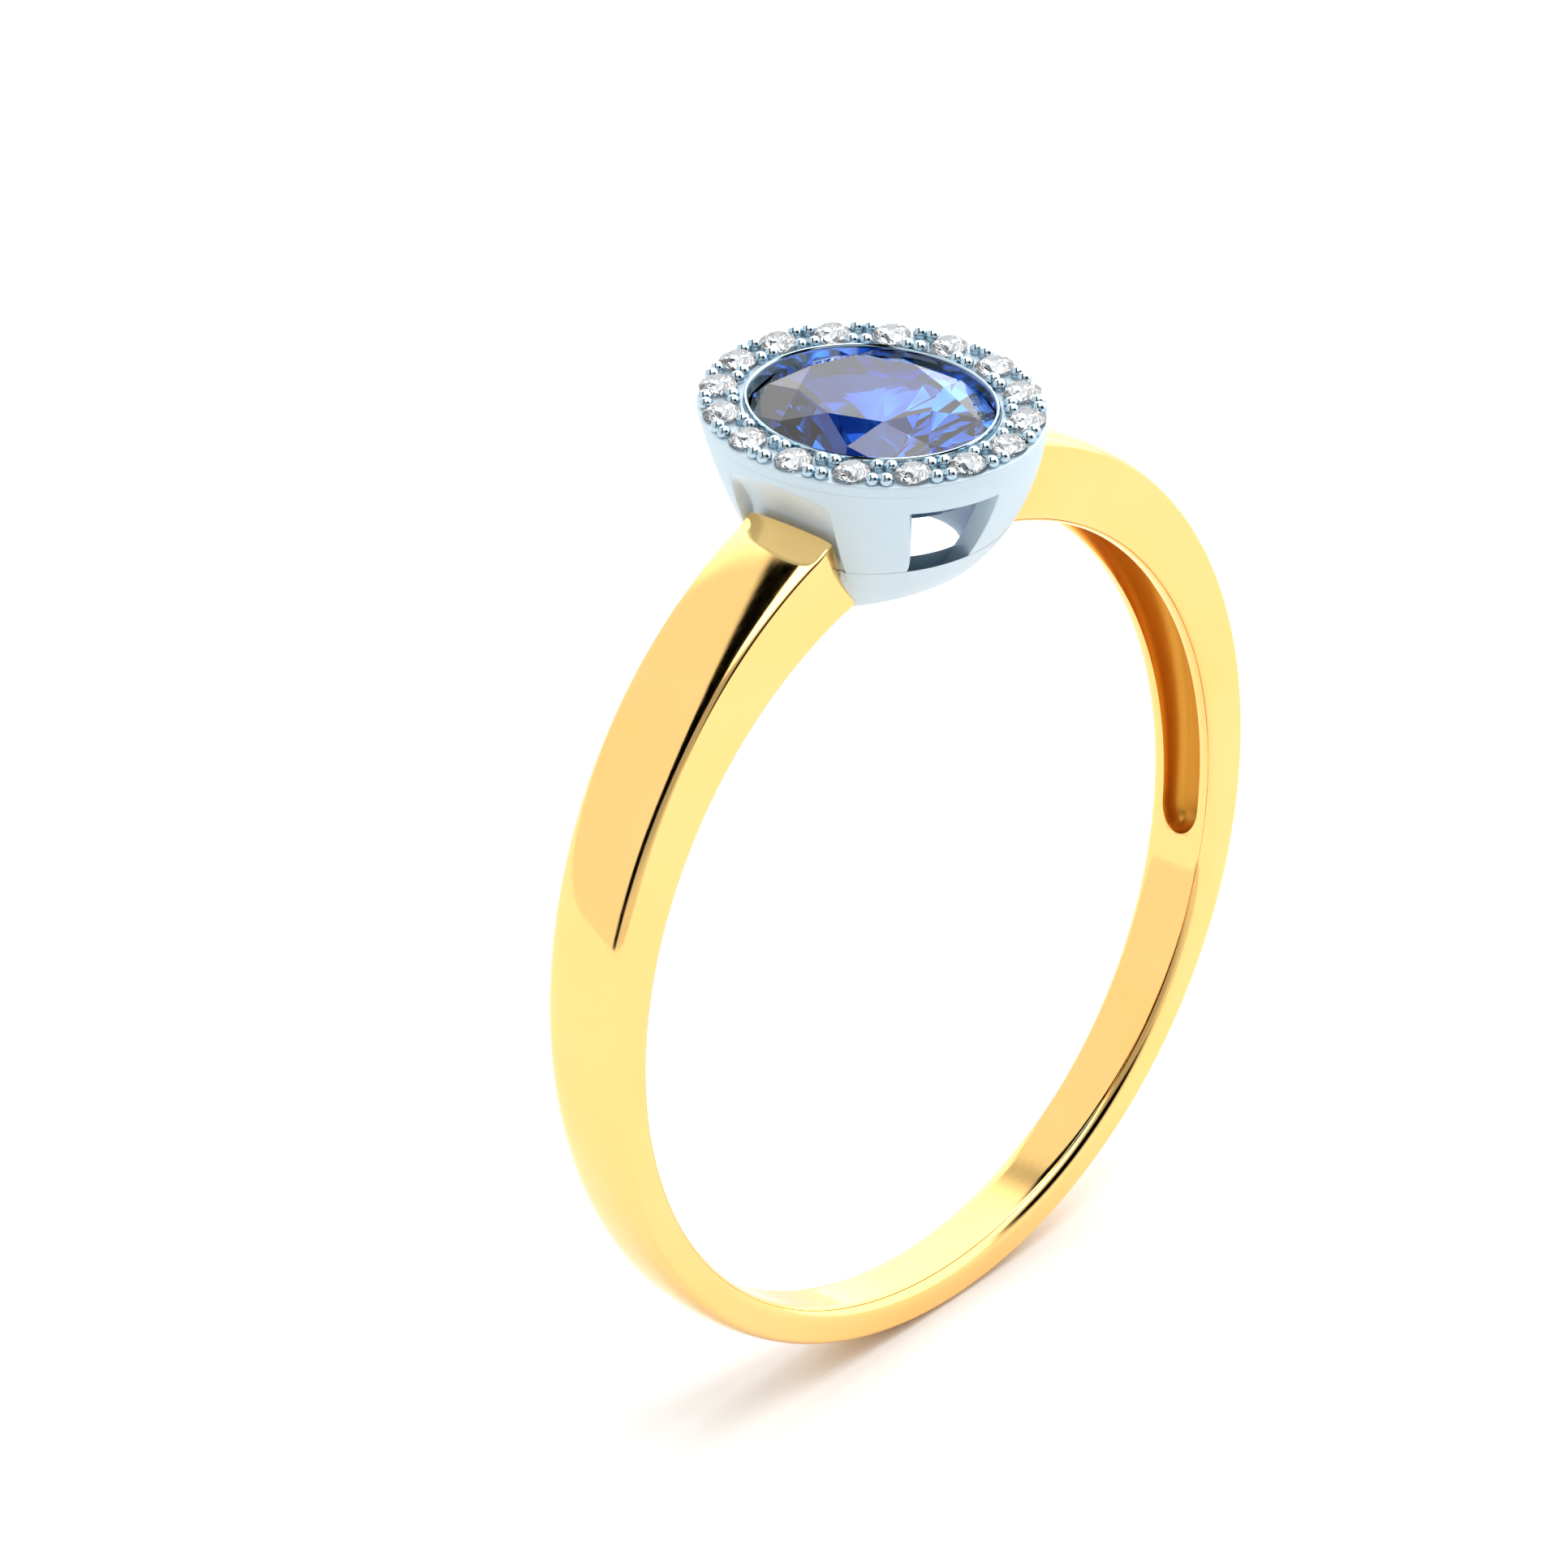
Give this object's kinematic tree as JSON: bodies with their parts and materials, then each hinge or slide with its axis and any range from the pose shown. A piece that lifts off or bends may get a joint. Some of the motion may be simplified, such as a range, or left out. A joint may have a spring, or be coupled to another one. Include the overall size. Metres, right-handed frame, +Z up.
{
  "type": "engagement ring",
  "caption": "Finger ring with a domed tapering band, an oval raised head, a bezel-set oval stone and a halo of small round stones held by grains.",
  "frame": {"origin": "under the middle of the band's lowest point, on the surface that the ring stands on", "axes": "+Z up from the band's bottom to the stone, +Y along the finger, +X across the ring"},
  "size_m": [0.0192, 0.0076, 0.0212],
  "materials": {
    "yellow_gold": "mirror-polished 14 karat yellow gold",
    "white_gold": "polished white gold with rhodium plating",
    "sapphire": "faceted and polished blue sapphire",
    "diamond": "faceted and polished colourless diamond"
  },
  "bodies": {
    "root": {"diamond_01": "diamond", "diamond_02": "diamond", "diamond_03": "diamond", "diamond_04": "diamond", "diamond_05": "diamond", "diamond_06": "diamond", "diamond_07": "diamond", "diamond_08": "diamond", "diamond_09": "diamond", "diamond_10": "diamond", "diamond_11": "diamond", "diamond_12": "diamond", "diamond_13": "diamond", "diamond_14": "diamond", "diamond_15": "diamond", "diamond_16": "diamond", "halo_plate": "white_gold", "head_gallery": "white_gold", "sapphire": "sapphire", "shank": "yellow_gold", "stone_collet": "white_gold"}
  },
  "joints": []
}
